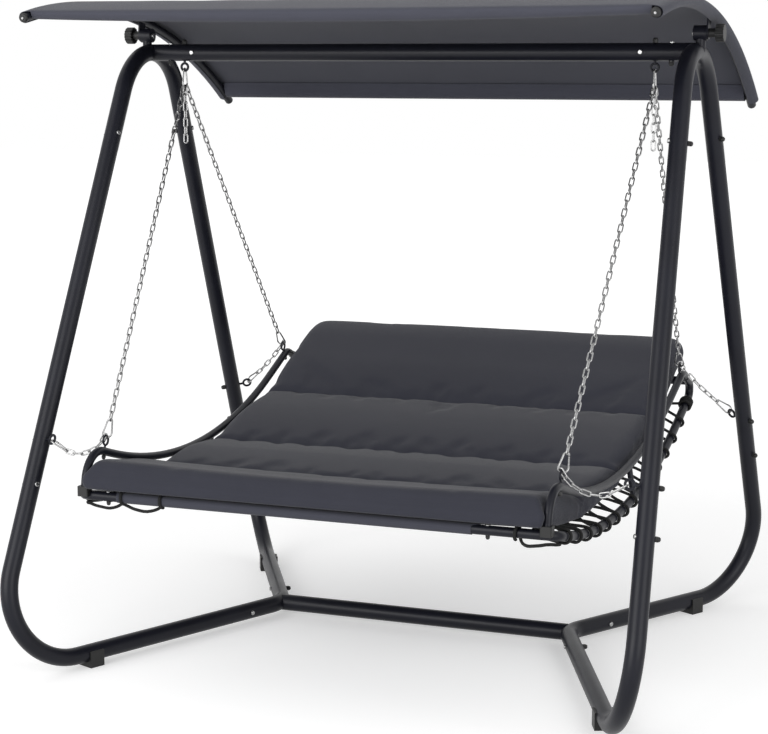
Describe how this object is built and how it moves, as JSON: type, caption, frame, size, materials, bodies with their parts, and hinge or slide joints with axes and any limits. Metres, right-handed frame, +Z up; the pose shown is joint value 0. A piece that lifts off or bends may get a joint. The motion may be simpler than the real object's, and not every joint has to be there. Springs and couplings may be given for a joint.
{
  "type": "canopy swing bed",
  "caption": "Lounger bed with a quilted mattress hung on chains from a round-tube stand, under a tilting arched fabric canopy.",
  "frame": {"origin": "middle of the footprint on the floor, under the top beam", "axes": "+X to the right of a person on the lounger's front side looking at it, +Y to the rear, +Z up"},
  "size_m": [1.7656, 1.5989, 1.8143],
  "materials": {
    "frame_paint": "satin powder coat",
    "bright_zinc": "bright zinc plate",
    "black_plastic": "moulded",
    "canopy_cloth": "woven polyester",
    "mattress_cloth": "woven polyester, quilted",
    "sling_cloth": "coated mesh",
    "elastic_cord": "braided elastic"
  },
  "bodies": {
    "stand": {"left_top_bow": "frame_paint", "left_base_vee": "frame_paint", "left_front_leg": "frame_paint", "left_front_foot": "frame_paint", "left_rear_leg": "frame_paint", "left_rear_foot": "frame_paint", "right_top_bow": "frame_paint", "right_base_vee": "frame_paint", "right_front_leg": "frame_paint", "right_front_foot": "frame_paint", "right_rear_leg": "frame_paint", "right_rear_foot": "frame_paint", "top_beam": "frame_paint", "beam_sleeves": "frame_paint", "tilt_brackets": "frame_paint", "floor_bar": "frame_paint", "foot_pads": "black_plastic", "frame_bolts": "bright_zinc", "frame_cap_nuts": "black_plastic", "beam_eyebolts": "frame_paint", "leg_eyebolts": "frame_paint", "eyebolt_cap_nuts": "black_plastic", "pivot_bolts": "bright_zinc", "stabiliser_carabiners": "bright_zinc"},
    "canopy": {"left_canopy_arch": "frame_paint", "right_canopy_arch": "frame_paint", "canopy_front_tube": "frame_paint", "canopy_rear_tube": "frame_paint", "arch_end_caps": "black_plastic", "arch_end_screws": "bright_zinc", "canopy_tabs": "frame_paint", "canopy_fabric": "canopy_cloth"},
    "lounger": {"left_side_rail": "frame_paint", "right_side_rail": "frame_paint", "front_rail": "frame_paint", "rear_rail": "frame_paint", "left_arm_rail": "frame_paint", "right_arm_rail": "frame_paint", "corner_brackets": "black_plastic", "arm_posts": "frame_paint", "seat_eyebolts": "frame_paint", "seat_nuts": "black_plastic", "rail_bolts": "bright_zinc", "seat_sling": "sling_cloth", "left_bungee_lacing": "elastic_cord", "right_bungee_lacing": "elastic_cord", "mattress": "mattress_cloth", "left_chains": "bright_zinc", "right_chains": "bright_zinc", "carabiners": "bright_zinc", "front_stabiliser_chains": "bright_zinc", "rear_stabiliser_chains": "bright_zinc"},
    "left_knob": {"left_tilt_knob": "black_plastic"},
    "right_knob": {"right_tilt_knob": "black_plastic"},
    "left_top_gate": {"left_top_gate": "bright_zinc"},
    "left_front_gate": {"left_front_gate": "bright_zinc"},
    "left_rear_gate": {"left_rear_gate": "bright_zinc"},
    "right_top_gate": {"right_top_gate": "bright_zinc"},
    "right_front_gate": {"right_front_gate": "bright_zinc"},
    "right_rear_gate": {"right_rear_gate": "bright_zinc"}
  },
  "joints": [
    {"name": "lounger_swing", "type": "hinge", "parent": "stand", "child": "lounger", "pos_m": [0, 0, 1.6265], "axis": [1, 0, 0], "range_deg": [-5, 5], "deforming": ["front_stabiliser_chains", "rear_stabiliser_chains", "stabiliser_carabiners"]},
    {"name": "canopy_tilt", "type": "hinge", "parent": "stand", "child": "canopy", "pos_m": [0, 0, 1.727], "axis": [1, 0, 0], "range_deg": [-15, 30]},
    {"name": "left_knob_turn", "type": "hinge", "parent": "stand", "child": "left_knob", "pos_m": [-0.856, 0, 1.727], "axis": [1, 0, 0], "range_deg": [0, 360]},
    {"name": "right_knob_turn", "type": "hinge", "parent": "stand", "child": "right_knob", "pos_m": [0.856, 0, 1.727], "axis": [1, 0, 0], "range_deg": [0, 360]},
    {"name": "left_top_gate_hinge", "type": "hinge", "parent": "lounger", "child": "left_top_gate", "pos_m": [-0.694, -0.00788, 1.62152], "axis": [1, 0, 0], "range_deg": [0, 18], "stiffness_Nm_per_rad": 0.05, "springref_deg": -11.46},
    {"name": "left_front_gate_hinge", "type": "hinge", "parent": "lounger", "child": "left_front_gate", "pos_m": [-0.64082, -0.59304, 0.69338], "axis": [0, -0.8346, 0.5509], "range_deg": [0, 18], "stiffness_Nm_per_rad": 0.05, "springref_deg": -11.46},
    {"name": "left_rear_gate_hinge", "type": "hinge", "parent": "lounger", "child": "left_rear_gate", "pos_m": [-0.6614, 0.55735, 0.78708], "axis": [0, -0.8221, -0.5694], "range_deg": [0, 18], "stiffness_Nm_per_rad": 0.05, "springref_deg": -11.46},
    {"name": "right_top_gate_hinge", "type": "hinge", "parent": "lounger", "child": "right_top_gate", "pos_m": [0.694, -0.00788, 1.62152], "axis": [1, 0, 0], "range_deg": [0, 18], "stiffness_Nm_per_rad": 0.05, "springref_deg": -11.46},
    {"name": "right_front_gate_hinge", "type": "hinge", "parent": "lounger", "child": "right_front_gate", "pos_m": [0.64082, -0.59304, 0.69338], "axis": [0, 0.8346, -0.5509], "range_deg": [0, 18], "stiffness_Nm_per_rad": 0.05, "springref_deg": -11.46},
    {"name": "right_rear_gate_hinge", "type": "hinge", "parent": "lounger", "child": "right_rear_gate", "pos_m": [0.6614, 0.55735, 0.78708], "axis": [0, 0.8221, 0.5694], "range_deg": [0, 18], "stiffness_Nm_per_rad": 0.05, "springref_deg": -11.46}
  ]
}
